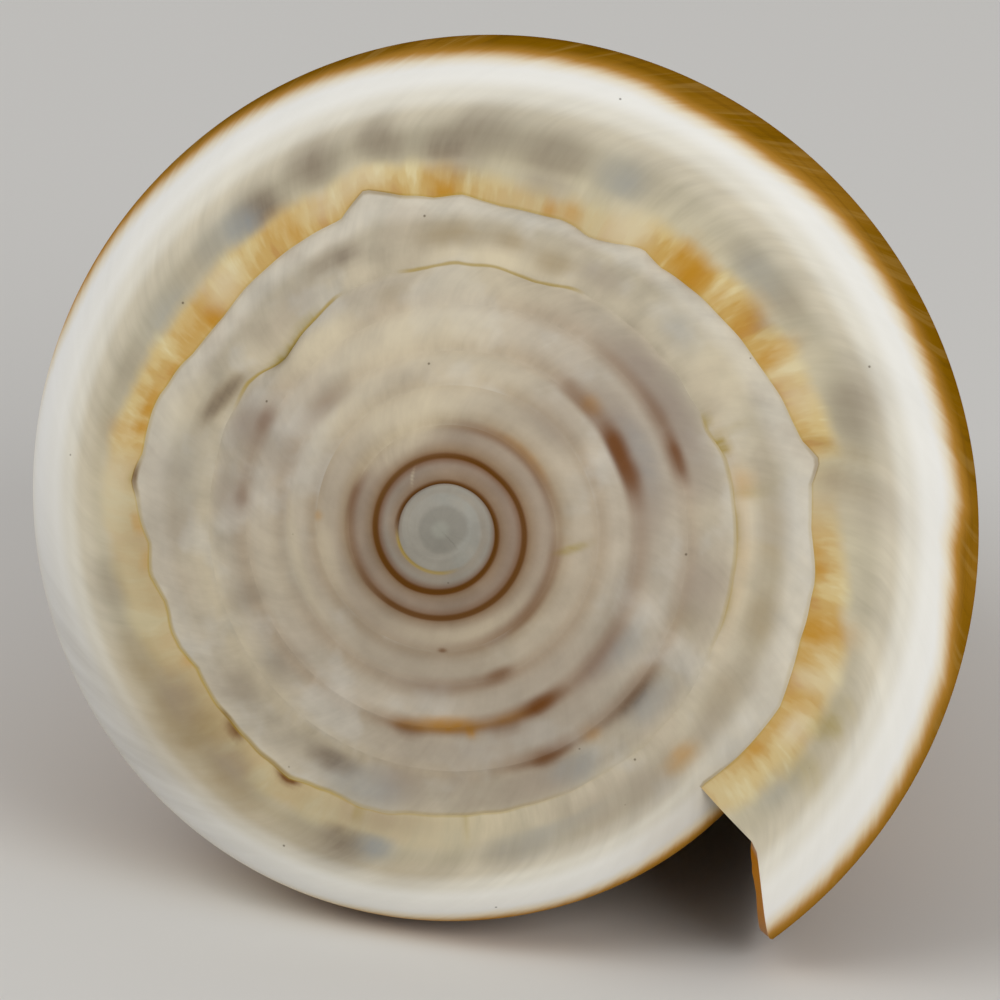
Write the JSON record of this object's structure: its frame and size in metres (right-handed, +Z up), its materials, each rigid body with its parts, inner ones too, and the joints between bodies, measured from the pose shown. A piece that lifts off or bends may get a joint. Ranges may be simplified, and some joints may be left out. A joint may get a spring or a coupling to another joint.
{
  "type": "cone shell",
  "caption": "Heavy cone-shaped sea snail shell with a low coiled spire, a long narrow opening and a thin lip, lying opening down.",
  "frame": {"origin": "centre of the bounding box on the surface the shell lies on", "axes": "+Z up, +Y towards the narrow front end, the spire faces -Y"},
  "size_m": [0.0258, 0.044, 0.0237],
  "materials": {
    "shell": "smooth, faintly glossy"
  },
  "bodies": {
    "root": {"shell": "shell"}
  },
  "joints": []
}
